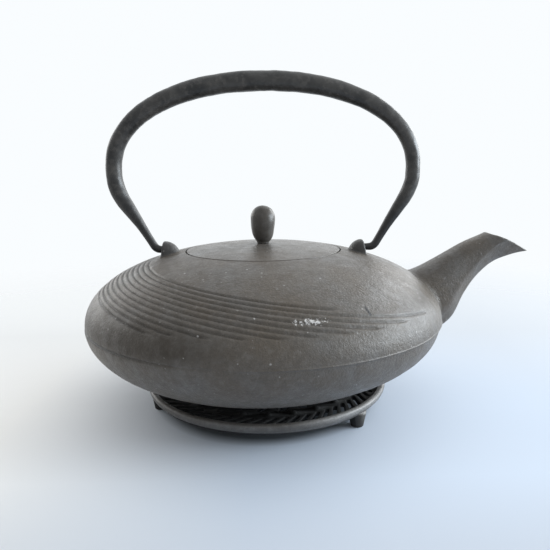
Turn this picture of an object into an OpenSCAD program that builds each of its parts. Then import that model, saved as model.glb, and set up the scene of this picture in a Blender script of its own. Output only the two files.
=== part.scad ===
// Squat cast-iron teapot with a swinging bail, a lift-off lid, a steel infuser and a footed trivet.
// Millimetres, +Z up, feet on Z = 0, spout towards +X, origin under the middle of the whole length.

/* [Pot] */
// Largest radius of the pot, at its girth
girth_r = 90.6; // [88:0.1:94]
// Height of the girth above the table
girth_z = 47.2; // [46.8:0.1:48]
// Rise from the girth to the top of the crown, lid included
crown_h = 36.8; // [36:0.1:37.4]
// Drop that the belly curve would make to its lowest point
belly_h = 37.4; // [37:0.1:39]
// Thickness of the iron
wall_t = 3.2; // [2.8:0.1:3.6]
// Radius of the flat foot under the pot
foot_r = 38; // [30:1:40]
// Radius of the opening that the lid drops into
mouth_r = 40; // [39.9:0.1:40.5]
// Radius of the throat inside the lid's ledge
throat_r = 36.5; // [36:0.1:37]
// Height of the ledge that carries the infuser and the lid
ledge_z = 75.9; // [75.6:0.1:76]

/* [Spout] */
// Height of the mouth's back edge
lip_back_z = 88.1; // [86:0.1:88.4]
// Slope of the mouth, falling towards the tip, in degrees
lip_slope = 25; // [22:0.1:26]
// Thickness of the spout's iron
spout_t = 2.4; // [2:0.1:2.8]
// Radius of the hole through the pot's wall into the spout
spout_hole_r = 6.5; // [5:0.5:7]

/* [Lid and knob] */
// Radius of the lid
lid_r = 39.4; // [39.2:0.1:39.5]
// Thickness of the lid's plate
lid_t = 3; // [2.6:0.1:3.2]
// Outer radius of the ring that centres the lid in the infuser
lid_ring_r = 33.4; // [32:0.1:33.5]
// Largest radius of the knob
knob_r = 6.3; // [5.5:0.1:7]
// Height of the knob above the lid
knob_h = 19.4; // [17:0.2:21]
// Radius of the knob's tang, which is headed over under the lid
tang_r = 1.9; // [1.6:0.1:2.2]

/* [Infuser] */
// Outer radius of the basket
basket_r = 34.2; // [34:0.1:34.4]
// Thickness of the perforated steel
basket_t = 0.4; // [0.3:0.05:0.5]
// Height of the basket's underside above the table
basket_z = 34; // [28:1:44]
// Outer radius of the basket's flange
flange_r = 39.4; // [39:0.1:39.6]

/* [Bail] */
// Height of the pivot axis
pivot_z = 81.3; // [81:0.1:81.6]
// Half of the bail's width, measured to the middle of the bar
bail_half_w = 75.8; // [74:0.2:77]
// Height of the middle of the bar at the top of the bail
bail_top_z = 164.4; // [160:0.5:170]
// How far the bail has slid along its pins towards the spout
bail_shift = 1.1; // [0:0.1:1.2]
// Radius of the pivot pins
pin_r = 1.75; // [1.6:0.05:1.85]
// Radial play of the pins in the lugs
pin_play = 0.08; // [0.04:0.01:0.1]

/* [Trivet] */
// Outer radius of the trivet's rim
rim_r = 63; // [62:0.1:64]
// Height of the rim's top edge above the table
rim_top_z = 11.6; // [11:0.1:12]
// Height of the grid's upper face above the table
grid_top_z = 9.2; // [9:0.1:9.4]
// Thickness of the grid
grid_t = 2.2; // [2:0.1:2.6]
// Radius of the circle that the three feet stand on
feet_circle_r = 58.2; // [57:0.1:59]

/* [Hidden] */
$fn = 96;

iron = [0.30, 0.27, 0.25];
dark_iron = [0.12, 0.11, 0.11];
trivet_iron = [0.33, 0.34, 0.31];
steel = [0.72, 0.72, 0.70];

crown_power = 2.1;         // the crown is slightly fuller than an ellipse
slip = 0.3;                // gap between pieces that lift apart
seam = 0.02;               // gap between two nodes of one casting
past = 1;                  // how far a cutting tool runs past the face that it opens
curve_steps = 18;          // straight bands from the girth to the crown or to the foot
foot_z = grid_top_z + slip;
foot_top_r = foot_r + 3;   // the belly's curve ends here, and a short bevel leads to the foot
spout_tip_x = 138.76;      // where the spout's lower edge meets the mouth
pot_x = -(spout_tip_x - girth_r) / 2;

// ---------------------------------------------------------------- shared functions

function crown_at(r, side_r = girth_r, rise = crown_h) =
    girth_z + rise * pow(1 - pow(r / side_r, crown_power), 1 / crown_power);

// Points from the girth up to radius r_end on the crown
function crown_curve(r_end, side_r, rise) =
    let (last = acos(pow(r_end / side_r, crown_power / 2)))
    [for (i = [0:curve_steps])
        let (a = last * i / curve_steps)
        [side_r * pow(cos(a), 2 / crown_power), girth_z + rise * pow(sin(a), 2 / crown_power)]];

// Points from radius r_end on the belly up to just below the girth
function belly_curve(r_end, side_r, drop) =
    let (last = acos(r_end / side_r))
    [for (i = [curve_steps:-1:1])
        let (a = last * i / curve_steps)
        [side_r * cos(a), girth_z - drop * sin(a)]];

function reversed(list) = [for (i = [len(list) - 1:-1:0]) list[i]];

// A smooth curve through rows of numbers, with n steps between two rows
function blend(a, b, c, d, t) =
    0.5 * (2 * b + (c - a) * t + (2 * a - 5 * b + 4 * c - d) * t * t + (3 * b - a - 3 * c + d) * t * t * t);
function smooth(rows, n) = concat(
    [for (i = [0:len(rows) - 2], k = [0:n - 1])
        blend(rows[max(i - 1, 0)], rows[i], rows[i + 1], rows[min(i + 2, len(rows) - 1)], k / n)],
    [rows[len(rows) - 1]]);

// A closed solid through a list of rings that have the same number of points
module skin(rings) {
    m = len(rings[0]);
    last = len(rings) - 1;
    sides = [for (i = [0:last - 1], j = [0:m - 1], half = [0, 1])
        let (a = i * m + j, b = i * m + (j + 1) % m, c = a + m, d = b + m)
        half == 0 ? [a, b, c] : [b, d, c]];
    first_cap = [for (j = [m - 1:-1:0]) j];
    last_cap = [for (j = [0:m - 1]) last * m + j];
    polyhedron(points = [for (ring = rings, p = ring) p], faces = concat([first_cap], sides, [last_cap]));
}

module on_pot_axis() {
    translate([pot_x, 0, 0]) children();
}

// ---------------------------------------------------------------- pot

// Solid inside the pot's outer surface, closed over the mouth. Its facets are the crown's own, moved out by
// grow, so that a node cut with it doesn't touch the crown.
module pot_outside(grow) {
    side_r = girth_r + grow;
    rotate_extrude()
        polygon(concat(
            [[0, foot_z - grow], [foot_r + grow, foot_z - grow]],
            belly_curve(foot_top_r, side_r, belly_h + grow),
            crown_curve(mouth_r, side_r, crown_h + grow),
            [[0, crown_at(0)]]));
}

// The pot is one casting. Its two halves, which meet at the parting line round the girth, are two nodes.
inner_r = girth_r - wall_t;
floor_t = wall_t + 1;      // the floor is a little thicker than the wall

module pot_belly() {
    inner_drop = belly_h - wall_t;
    floor_z = foot_z + floor_t;
    floor_r = inner_r * sqrt(1 - pow((girth_z - floor_z) / inner_drop, 2));
    color(iron) on_pot_axis()
        rotate_extrude()
            polygon(concat(
                [[0, foot_z], [foot_r, foot_z]],
                belly_curve(foot_top_r, girth_r, belly_h),
                [[girth_r, girth_z - seam], [inner_r, girth_z - seam]],
                reversed(belly_curve(floor_r, inner_r, inner_drop)),
                [[0, floor_z]]));
}

// The crown is thickened into a collar under the ledge, and a hole leads into the spout
collar_w = 6;
collar_h = 3.6;
collar_blend_w = 3;

module spout_hole() {
    hole_l = 30;
    translate([spout_hole_x, 0, spout_hole_z])
        rotate([0, 90 - spout_hole_tilt, 0])
            cylinder(r = spout_hole_r, h = hole_l, center = true);
}

module pot_crown() {
    collar_out_r = throat_r + collar_w;
    collar_z = ledge_z - collar_h;
    color(iron) on_pot_axis()
        difference() {
            rotate_extrude()
                polygon(concat(
                    crown_curve(mouth_r, girth_r, crown_h),
                    [[mouth_r, ledge_z], [throat_r, ledge_z], [throat_r, collar_z], [collar_out_r, collar_z]],
                    reversed(crown_curve(collar_out_r + collar_blend_w, inner_r, crown_h - wall_t))));
            spout_hole();
        }
}

// ---------------------------------------------------------------- spout

// Centre x, centre z, direction in degrees above level, height, width
SPOUT = [
    [76, 50, 30, 36, 32],
    [91.7, 56.9, 25, 32.4, 25],
    [100.8, 67.3, 24, 23.1, 20],
    [108.9, 74.7, 25, 18.2, 17],
    [117.5, 79.9, 26, 15.3, 16],
    [127, 83.7, 22, 15.8, 17],
    [139.4, 86.6, 15, 17, 17.6]
];
spout_sides = 20;
spout_power = 2.6;
lip_back_x = 117;
spout_hole_x = 85;
spout_hole_z = 57;
spout_hole_tilt = 30;

function signed_power(v, p) = sign(v) * pow(abs(v), p);

function spout_ring(s, inset) =
    [for (j = [0:spout_sides - 1])
        let (a = 360 * j / spout_sides,
             up = (s[3] / 2 - inset) * signed_power(cos(a), 2 / spout_power),
             across = (s[4] / 2 - inset) * signed_power(sin(a), 2 / spout_power))
        [s[0] - up * sin(s[2]), across, s[1] + up * cos(s[2])]];

module spout_solid(inset) {
    skin([for (s = smooth(SPOUT, 3)) spout_ring(s, inset)]);
}

// Everything above the plane of the mouth, which is cut from the spout
module above_mouth() {
    behind = 30;
    length = 90;
    width = 80;
    height = 60;
    translate([lip_back_x, 0, lip_back_z])
        rotate([0, lip_slope, 0])
            translate([-behind, -width / 2, 0])
                cube([length, width, height]);
}

module spout() {
    color(iron) on_pot_axis()
        difference() {
            spout_solid(0);
            spout_solid(spout_t);
            pot_outside(seam);
            above_mouth();
        }
}

// ---------------------------------------------------------------- lugs

lug_dome_r = 8.8;
lug_half_w = 6;
lug_face_x = 52.4;         // flat outer face that the pin enters
lug_dome_x = 51;
lug_dome_z = 76.6;
lug_bore_depth = 6.4;

// Each lug is the part of a dome behind its flat face, trimmed to the lug's width
lug_block_l = 24;          // longer than the dome, so that the block trims only its width and its face

module lug(side) {
    color(iron) on_pot_axis()
        mirror([side < 0 ? 1 : 0, 0, 0])
            difference() {
                intersection() {
                    translate([lug_dome_x, 0, lug_dome_z]) sphere(r = lug_dome_r);
                    translate([lug_face_x - lug_block_l, -lug_half_w, lug_dome_z - lug_block_l / 2])
                        cube([lug_block_l, 2 * lug_half_w, lug_block_l]);
                }
                pot_outside(seam);
                translate([lug_face_x - lug_bore_depth, 0, pivot_z])
                    rotate([0, 90, 0])
                        cylinder(r = pin_r + pin_play, h = lug_bore_depth + past);
            }
}

module lug_spout_side() {
    lug(1);
}

module lug_back_side() {
    lug(-1);
}

// ---------------------------------------------------------------- lid and knob

flange_t = 0.5;
flange_z = ledge_z + slip / 2;
lid_seat_z = flange_z + flange_t + slip;
lid_top_z = crown_at(0);
lid_rise = crown_h - lid_t;      // rise of the lid's underside above the girth
lid_ring_t = 2.4;
lid_ring_bottom_z = 72.5;
tang_play = 0.05;
washer_r = 5;
washer_t = 1;
washer_z = crown_at(washer_r, girth_r, lid_rise) - washer_t - seam;
tang_head_r = 3;
tang_head_t = 0.8;

module lid() {
    ring_inner_r = lid_ring_r - lid_ring_t;
    color(iron) on_pot_axis()
        difference() {
            rotate_extrude()
                polygon(concat(
                    [for (r = [0:6:24]) [r, crown_at(r, girth_r, lid_rise)]],
                    [[ring_inner_r, lid_seat_z], [ring_inner_r, lid_ring_bottom_z],
                     [lid_ring_r, lid_ring_bottom_z], [lid_ring_r, lid_seat_z], [lid_r, lid_seat_z]],
                    [for (r = [lid_r, 36, 30, 24, 18, 12, 6, 0]) [r, crown_at(r)]]));
            translate([0, 0, lid_top_z - lid_t - past])
                cylinder(r = tang_r + tang_play, h = lid_t + 2 * past);
        }
}

// Radius of the knob at a height, both as fractions: an egg with its wide end up, on a short neck
KNOB = [
    [0, 0.5], [0.04, 0.5], [0.1, 0.66], [0.22, 0.81], [0.42, 0.93],
    [0.62, 1], [0.76, 0.95], [0.89, 0.73], [0.96, 0.46]
];

// The knob's tang runs down through the lid and the washer to its flattened head
module lid_knob() {
    knob_z = lid_top_z + seam;
    head_z = washer_z - seam;
    color(dark_iron) on_pot_axis() {
        rotate_extrude()
            polygon(concat(
                [[0, knob_z]],
                [for (s = smooth(KNOB, 3)) [s[1] * knob_r, knob_z + s[0] * knob_h]],
                [[0, knob_z + knob_h]]));
        translate([0, 0, head_z]) cylinder(r = tang_r, h = knob_z + past - head_z);
        translate([0, 0, head_z - tang_head_t]) cylinder(r = tang_head_r, h = tang_head_t);
    }
}

module knob_washer() {
    color(steel) on_pot_axis()
        translate([0, 0, washer_z])
            difference() {
                cylinder(r = washer_r, h = washer_t);
                translate([0, 0, -past]) cylinder(r = tang_r + tang_play, h = washer_t + 2 * past);
            }
}

// ---------------------------------------------------------------- infuser

basket_band_h = 6;         // plain band under the flange
basket_band_z = flange_z - basket_band_h;

module infuser_flange() {
    color(steel) on_pot_axis()
        difference() {
            union() {
                translate([0, 0, flange_z]) cylinder(r = flange_r, h = flange_t);
                translate([0, 0, basket_band_z]) cylinder(r = basket_r, h = basket_band_h);
            }
            translate([0, 0, basket_band_z - past])
                cylinder(r = basket_r - basket_t, h = basket_band_h + flange_t + 2 * past);
        }
}

module infuser_wall() {
    wall_h = basket_band_z - basket_z - basket_t;
    color(steel) on_pot_axis()
        translate([0, 0, basket_z + basket_t])
            difference() {
                cylinder(r = basket_r, h = wall_h);
                translate([0, 0, -past]) cylinder(r = basket_r - basket_t, h = wall_h + 2 * past);
            }
}

module infuser_base() {
    color(steel) on_pot_axis()
        translate([0, 0, basket_z])
            cylinder(r = basket_r, h = basket_t);
}

// ---------------------------------------------------------------- bail

// One half of the bail from its top to its pin: x, z and radius of the bar.
// The upper arch is a slightly squared ellipse, and the leg below it is a smooth curve.
arch_power = 2.15;
arch_z = 122;
arch_steps = 12;
bail_top_r = 4.9;
bail_side_r = 3.9;
LEG = [
    [75.3, 115, 3.9],
    [72.7, 108, 3.7],
    [68.3, 101, 3.2],
    [64.0, 94.3, 2.4],
    [60.3, 88, 2.0],
    [58.3, 84.6, 2.0],
    [57.0, 82.6, 2.0],
    [55.4, 81.5, 2.0],
    [54, pivot_z, 2.0]
];
bail_sides = 12;

function arch_point(a) =
    [bail_half_w * pow(sin(a), 2 / arch_power),
     arch_z + (bail_top_z - arch_z) * pow(cos(a), 2 / arch_power),
     bail_side_r + (bail_top_r - bail_side_r) * pow(cos(a), 2)];
function half_bail() = concat([for (i = [0:arch_steps]) arch_point(90 * i / arch_steps)], smooth(LEG, 2));
function mirrored(rows) = [for (s = rows) [-s[0], s[1], s[2]]];

// Ring of points round the bar at row i of a path
function bar_ring(path, i) =
    let (before = path[max(i - 1, 0)], after = path[min(i + 1, len(path) - 1)],
         run = [after[0] - before[0], after[1] - before[1]],
         along = run / norm(run),
         s = path[i])
    [for (j = [0:bail_sides - 1])
        let (a = 360 * j / bail_sides, out = s[2] * cos(a), across = s[2] * sin(a))
        [s[0] - out * along[1], across, s[1] + out * along[0]]];

// The pin runs from inside the leg's last bend into the lug
module pivot_pin(side) {
    tip_x = lug_face_x - lug_bore_depth + bail_shift + slip;
    root_x = lug_face_x + 2;
    translate([side * tip_x, 0, pivot_z])
        rotate([0, side * 90, 0])
            cylinder(r = pin_r, h = root_x - tip_x);
}

module bail() {
    half = half_bail();
    left = reversed(mirrored(half));
    path = concat([for (i = [0:len(left) - 2]) left[i]], half);
    color(dark_iron) on_pot_axis() translate([bail_shift, 0, 0]) {
        skin([for (i = [0:len(path) - 1]) bar_ring(path, i)]);
        for (side = [-1, 1]) pivot_pin(side);
    }
}

// ---------------------------------------------------------------- trivet

rim_width = 3.2;
rim_bottom_z = 7.6;
rim_bevel = 0.5;
shelf_w = 3;                     // the ledge that carries the grid
shelf_t = 1;
rim_foot_r = rim_r - 1.2;        // the rim's outer face leans in towards its lower edge
grid_r = rim_r - rim_width - seam;
hub_r = 9;                       // the hole in the middle of the grid
FEET_ANGLES = [-42, 78, 198];

module trivet_rim() {
    shelf_z = grid_top_z - grid_t - seam;
    inner_r = rim_r - rim_width;
    color(trivet_iron) on_pot_axis()
        rotate_extrude()
            polygon([
                [inner_r, rim_top_z],
                [inner_r, shelf_z],
                [grid_r - shelf_w, shelf_z],
                [grid_r - shelf_w, shelf_z - shelf_t],
                [inner_r, shelf_z - shelf_t],
                [rim_foot_r, rim_bottom_z],
                [rim_r, rim_top_z - rim_bevel],
                [rim_r - rim_bevel, rim_top_z]
            ]);
}

// Rows of slots that lean like the blades of a pinwheel: number of slots, inner radius, outer radius,
// width, and lean from the radius in degrees
SLOTS = [
    [60, 49.5, 57, 2, -46],
    [24, 28, 42, 3.6, -35],
    [12, 14, 24, 3.2, -20]
];

module slot_row(count, from_r, to_r, width, lean) {
    for (i = [0:count - 1])
        rotate(360 * i / count)
            translate([(from_r + to_r) / 2, 0])
                rotate(lean)
                    square([(to_r - from_r) / cos(lean), width], center = true);
}

module trivet_grid() {
    stud_ring_r = 46;
    studs = 24;
    stud_r = 1.7;
    stud_sink = 0.6;             // depth of a stud's centre under the grid's upper face
    color(trivet_iron) on_pot_axis() {
        translate([0, 0, grid_top_z - grid_t])
            linear_extrude(height = grid_t)
                difference() {
                    circle(r = grid_r);
                    circle(r = hub_r);
                    for (s = SLOTS) slot_row(s[0], s[1], s[2], s[3], s[4]);
                }
        for (i = [0:studs - 1])
            rotate([0, 0, 360 * i / studs])
                translate([stud_ring_r, 0, grid_top_z - stud_sink])
                    sphere(r = stud_r, $fn = 24);
    }
}

module trivet_feet() {
    top_r = 3.9;
    bottom_r = 2.8;
    edge = 0.6;                  // bevel round the face that stands on the table
    foot_h = grid_top_z - grid_t - shelf_t - 2 * seam;
    color(trivet_iron) on_pot_axis()
        for (a = FEET_ANGLES)
            rotate([0, 0, a])
                translate([feet_circle_r, 0, 0])
                    rotate_extrude()
                        polygon([[0, 0], [bottom_r - edge, 0], [bottom_r, edge], [top_r, foot_h], [0, foot_h]]);
}

pot_crown();
pot_belly();
spout();
lug_spout_side();
lug_back_side();
lid();
lid_knob();
knob_washer();
infuser_flange();
infuser_wall();
infuser_base();
bail();
trivet_rim();
trivet_grid();
trivet_feet();
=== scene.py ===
"""Looks of the cast-iron teapot on its trivet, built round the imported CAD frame.

Shapes are worked out in millimetres about the pot's own axis and placed in the frame in metres.
"""

from math import acos, atan2, cos, pi, radians, sin, sqrt, tan

import bmesh
import bpy
import numpy as np
from mathutils import Matrix, Vector


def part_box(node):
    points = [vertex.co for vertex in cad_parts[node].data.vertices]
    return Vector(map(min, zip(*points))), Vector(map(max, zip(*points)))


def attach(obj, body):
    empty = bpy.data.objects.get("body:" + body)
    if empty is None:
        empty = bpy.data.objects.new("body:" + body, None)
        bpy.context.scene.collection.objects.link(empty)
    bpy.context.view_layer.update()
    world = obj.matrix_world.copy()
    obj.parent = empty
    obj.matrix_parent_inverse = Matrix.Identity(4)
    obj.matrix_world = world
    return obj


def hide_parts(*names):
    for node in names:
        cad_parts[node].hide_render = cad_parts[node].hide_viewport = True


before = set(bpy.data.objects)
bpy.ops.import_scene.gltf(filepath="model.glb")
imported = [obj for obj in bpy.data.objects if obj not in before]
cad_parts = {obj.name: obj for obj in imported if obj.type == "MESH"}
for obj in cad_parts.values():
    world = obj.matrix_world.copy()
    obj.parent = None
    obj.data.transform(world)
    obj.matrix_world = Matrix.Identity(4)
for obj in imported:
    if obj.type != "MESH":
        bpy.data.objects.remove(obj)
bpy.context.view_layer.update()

MM = 0.001
scene = bpy.context.scene


# ---------- sizes

def box_mm(node):
    """The low and high corners of a CAD node's box, in millimetres."""
    low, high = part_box(node)
    return np.array(low) / MM, np.array(high) / MM


crown_low, crown_high = box_mm("pot_crown")
belly_low = box_mm("pot_belly")[0]
lid_low, lid_high = box_mm("lid")
knob_low, knob_high = box_mm("lid_knob")
washer_low, washer_high = box_mm("knob_washer")
flange_low, flange_high = box_mm("infuser_flange")
base_low, base_high = box_mm("infuser_base")
bail_high = box_mm("bail")[1]
rim_low, rim_high = box_mm("trivet_rim")

POT_X = (crown_low[0] + crown_high[0]) / 2
GIRTH_R = (crown_high[0] - crown_low[0]) / 2
GIRTH_Z = crown_low[2]
LID_R = (lid_high[0] - lid_low[0]) / 2
LID_TOP_Z = lid_high[2]
CROWN_H = LID_TOP_Z - GIRTH_Z
CROWN_POWER = 2.1  # 2 would be an ellipse; this is a little squarer
BELLY_H = 37.4
FOOT_Z = belly_low[2]
FOOT_R = 38.0
WALL = 3.2
MOUTH_R = LID_R + 0.6
THROAT_R = 36.5  # the opening inside the ledge that carries the infuser
LEDGE_Z = 75.9
PIVOT_Z = 81.3  # height of the bail's pins


# ---------- mesh tools

def add_object(name, data):
    """Puts a mesh, a curve, a light or a camera in the scene as a new object."""
    made = bpy.data.objects.new(name, data)
    scene.collection.objects.link(made)
    return made


def make_object(name, points, faces):
    """A mesh object from points in millimetres about the pot's axis, its faces turned outwards."""
    mesh = bpy.data.meshes.new(name)
    placed = (np.asarray(points, float) + [POT_X, 0, 0]) * MM
    mesh.from_pydata(placed.tolist(), [], [tuple(int(i) for i in f) for f in faces])
    work = bmesh.new()
    work.from_mesh(mesh)
    bmesh.ops.recalc_face_normals(work, faces=work.faces)
    work.to_mesh(mesh)
    work.free()
    return add_object(name, mesh)


def moved(made, x, y):
    """Moves a mesh's points sideways, in millimetres."""
    made.data.transform(Matrix.Translation(Vector((x, y, 0)) * MM))
    return made


def grid_faces(rows, columns, wrap_rows=False):
    """Quads between rows of points, where each row is a closed ring."""
    last = rows if wrap_rows else rows - 1
    return [
        (i * columns + j, i * columns + (j + 1) % columns,
         (i + 1) % rows * columns + (j + 1) % columns, (i + 1) % rows * columns + j)
        for i in range(last) for j in range(columns)
    ]


def capped_tube(name, rings, poles):
    """A closed mesh of rings of points, with a fan from one pole to the first and from one to the last."""
    count, columns = rings.shape[:2]
    faces = grid_faces(count, columns)
    first = count * columns
    end = first - columns
    for j in range(columns):
        k = (j + 1) % columns
        faces.append((first, k, j))
        faces.append((first + 1, end + j, end + k))
    return make_object(name, np.vstack([rings.reshape(-1, 3), poles]), faces)


def circle_angles(count):
    """Angles that are evenly spread round a circle."""
    return np.arange(count) * 2 * pi / count


def circle(radius, count, middle=(0, 0)):
    """Points (x, y) that are evenly spread round a circle."""
    x, y = middle
    return [(x + radius * cos(a), y + radius * sin(a)) for a in circle_angles(count)]


def unit(vectors):
    """Vectors scaled to a length of 1."""
    return vectors / np.maximum(np.linalg.norm(vectors, axis=-1, keepdims=True), 1e-9)


def turned(radius, height, angles):
    """Points of a profile turned to each angle: an array of profile point, angle, and x, y, z."""
    x = radius * np.cos(angles)
    return np.stack([x, radius * np.sin(angles), np.broadcast_to(height, x.shape)], -1)


def revolve(name, profile, columns, closed=False, shift=None):
    """Turns a profile of (radius, height) about the pot's axis.

    The outside of a profile runs upwards, and an open one starts and ends on the axis.
    shift(points, angles) gives each point's move along its outward normal.
    """
    profile = np.asarray(profile, float)
    if not closed:
        profile[0, 0] = profile[-1, 0] = 0
    angles = circle_angles(columns)
    radius, height = profile[:, :1], profile[:, 1:]
    points = turned(radius, height, angles)
    if shift is not None:
        run = unit(np.gradient(profile, axis=0))
        amount = shift(points, angles)
        points = turned(radius + run[:, 1:] * amount, height - run[:, :1] * amount, angles)
    if closed:
        return make_object(name, points.reshape(-1, 3), grid_faces(len(profile), columns, True))
    return capped_tube(name, points[1:-1], [[0, 0, profile[0, 1]], [0, 0, profile[-1, 1]]])


def rounded(corners):
    """A polyline through corners of (radius, height, rounding), with each corner turned into an arc."""
    steps = 4
    points = []
    for i, (r, z, size) in enumerate(corners):
        here = np.array([r, z], float)
        if size <= 0 or i in (0, len(corners) - 1):
            points.append(here)
            continue
        before = np.array(corners[i - 1][:2], float) - here
        after = np.array(corners[i + 1][:2], float) - here
        room = min(size, np.linalg.norm(before) / 2, np.linalg.norm(after) / 2)
        start = here + before / np.linalg.norm(before) * room
        end = here + after / np.linalg.norm(after) * room
        for k in range(steps + 1):
            t = k / steps
            points.append((1 - t) ** 2 * start + 2 * t * (1 - t) * here + t ** 2 * end)
    return np.array(points)


def ring_section(name, outline, columns):
    """Turns a closed outline of (radius, height, rounding) about the axis."""
    ends = [outline[-1], *outline, outline[0]]
    return revolve(name, rounded(ends)[1:-1], columns, closed=True)


def smooth_rows(rows, steps):
    """A smooth curve through rows of numbers, with some steps between two rows."""
    rows = np.asarray(rows, float)
    out = []
    for i in range(len(rows) - 1):
        a, b, c, d = (rows[min(max(k, 0), len(rows) - 1)] for k in range(i - 1, i + 3))
        for t in np.arange(steps) / steps:
            out.append(0.5 * (2 * b + (c - a) * t + (2 * a - 5 * b + 4 * c - d) * t ** 2
                              + (3 * b - a - 3 * c + d) * t ** 3))
    return np.vstack([out, rows[-1:]])


def evaluated_mesh(made):
    """A new mesh of an object as its modifiers or its curve settings make it."""
    bpy.context.view_layer.update()
    return bpy.data.meshes.new_from_object(made.evaluated_get(bpy.context.evaluated_depsgraph_get()))


def combine(target, tool, operation="UNION"):
    """Joins a tool to a mesh or cuts it away, and removes the tool."""
    step = target.modifiers.new("step", "BOOLEAN")
    step.operation = operation
    step.solver = "MANIFOLD"
    step.object = tool
    result = evaluated_mesh(target)
    old = target.data
    target.modifiers.clear()
    target.data = result
    bpy.data.meshes.remove(old)
    bpy.data.objects.remove(tool)
    if not len(result.polygons):
        raise RuntimeError(f"the {operation.lower()} of {target.name} came out empty")


def cylinder_between(start, end, radius):
    """A closed cylinder between two points."""
    sides = 48
    start, end = Vector(start), Vector(end)
    turn = (end - start).to_track_quat("Z", "Y")
    ring = [Vector((x, y, 0)) * radius for x, y in circle(1, sides)]
    points = [middle + turn @ p for middle in (start, end) for p in ring]
    faces = grid_faces(2, sides) + [tuple(range(sides)), tuple(range(sides, 2 * sides))]
    return make_object("tool", points, faces)


def lumps(points, wavelength, seed):
    """Smooth random unevenness between about -1 and 1, made of a few waves in random directions."""
    rng = np.random.default_rng(seed)
    total = np.zeros(points.shape[:-1])
    waves = 7
    for _ in range(waves):
        direction = rng.normal(size=3)
        direction *= rng.uniform(0.7, 1.5) * 2 * pi / wavelength / np.linalg.norm(direction)
        total += np.sin(points @ direction + rng.uniform(0, 2 * pi))
    return total / sqrt(waves)


def finish_piece(piece, material, body, slot, *nodes):
    """Gives a piece its material and its body, and hides the CAD nodes that it stands for; slot is not used.
    """
    piece.data.materials.clear()
    piece.data.materials.append(material)
    piece.data.shade_smooth()
    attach(piece, body)
    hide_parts(*nodes)


# ---------- materials

SOCKETS = {"colour": "Base Color", "roughness": "Roughness", "normal": "Normal", "metallic": "Metallic",
           "ior": "IOR"}


class Nodes:
    """A node tree under construction."""

    def __init__(self, owner):
        owner.use_nodes = True
        self.tree = owner.node_tree

    def node(self, kind, inputs=None, **settings):
        """A new node with its settings, where each input is a value or another node's socket."""
        made = self.tree.nodes.new("ShaderNode" + kind)
        for key, value in settings.items():
            setattr(made, key, value)
        for key, value in (inputs or {}).items():
            self.put(made.inputs[key], value)
        return made

    def put(self, socket, value):
        """Links a socket to another one or sets its value."""
        if isinstance(value, bpy.types.NodeSocket):
            self.tree.links.new(value, socket)
        else:
            socket.default_value = value

    def span(self, value, low, high, out_low=0.0, out_high=1.0):
        """Maps low..high to out_low..out_high and holds it there."""
        inputs = {"Value": value, "From Min": low, "From Max": high, "To Min": out_low, "To Max": out_high}
        return self.node("MapRange", inputs).outputs[0]

    def maths(self, operation, a, b=0.0):
        return self.node("Math", {0: a, 1: b}, operation=operation).outputs[0]

    def vector(self, operation, a, b=(0, 0, 0)):
        return self.node("VectorMath", {0: a, 1: b}, operation=operation).outputs

    def times(self, a, b):
        return self.maths("MULTIPLY", a, b)


class Shader(Nodes):
    """A material under construction."""

    def __init__(self, name):
        self.material = bpy.data.materials.new(name)
        super().__init__(self.material)
        self.surface = self.tree.nodes["Principled BSDF"]
        self.place = self.node("TexCoord").outputs["Object"]

    def noise(self, size_mm, detail, roughness, stretch=None):
        """Noise whose features are about size_mm across."""
        place = self.place
        if stretch:
            place = self.node("Mapping", {"Vector": place, "Scale": stretch}).outputs[0]
        inputs = {"Vector": place, "Scale": 1 / (size_mm * MM), "Detail": detail, "Roughness": roughness}
        return self.node("TexNoise", inputs).outputs["Fac"]

    def cells(self, size_mm):
        """Random cells: the distance from each cell's middle, and a random value per cell."""
        inputs = {"Vector": self.place, "Scale": 1 / (size_mm * MM)}
        made = self.node("TexVoronoi", inputs)
        value = self.node("SeparateColor", {"Color": made.outputs["Color"]}).outputs["Red"]
        return made.outputs["Distance"], value

    def mix(self, share, a, b):
        """Blends two colours."""
        return self.node("Mix", {0: share, 6: a, 7: b}, data_type="RGBA").outputs[2]

    def bump(self, height, depth_mm, below=None):
        """A normal that shows a height as unevenness, on top of the normal below it."""
        inputs = {"Height": height, "Distance": depth_mm * MM, "Strength": 1.0}
        if below is not None:
            inputs["Normal"] = below
        return self.node("Bump", inputs).outputs["Normal"]

    def axes(self):
        """The place's x, y and z."""
        return self.node("SeparateXYZ", {0: self.place}).outputs[:]

    def distance(self, middle, reach=(1, 1, 1)):
        """Distance from a middle, in units of a reach along each axis."""
        away = self.vector("SUBTRACT", self.place, middle)[0]
        away = self.vector("DIVIDE", away, reach)[0]
        return self.vector("LENGTH", away)["Value"]

    def within(self, middle, radius, top):
        """1 inside an upright cylinder about a middle that ends at a height, 0 outside it."""
        soft_side, soft_top = 0.4 * MM, 0.3 * MM
        x, y, z = self.axes()
        x = self.maths("SUBTRACT", x, middle[0])
        y = self.maths("SUBTRACT", y, middle[1])
        away = self.maths("SQRT", self.maths("ADD", self.times(x, x), self.times(y, y)))
        across = self.span(away, radius + soft_side, radius - soft_side)
        return self.times(across, self.span(z, top + soft_top, top - soft_top))

    def attribute(self, name):
        return self.node("Attribute", attribute_name=name).outputs["Fac"]

    def set(self, **values):
        """Sets the surface's sockets and gives the finished material."""
        for key, value in values.items():
            self.put(self.surface.inputs[SOCKETS[key]], value)
        return self.material


def grey(level, warm=0.0):
    """A grey of that linear brightness, warmer or cooler by a share."""
    return (level * (1 + warm), level, level * (1 - warm), 1.0)


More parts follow.
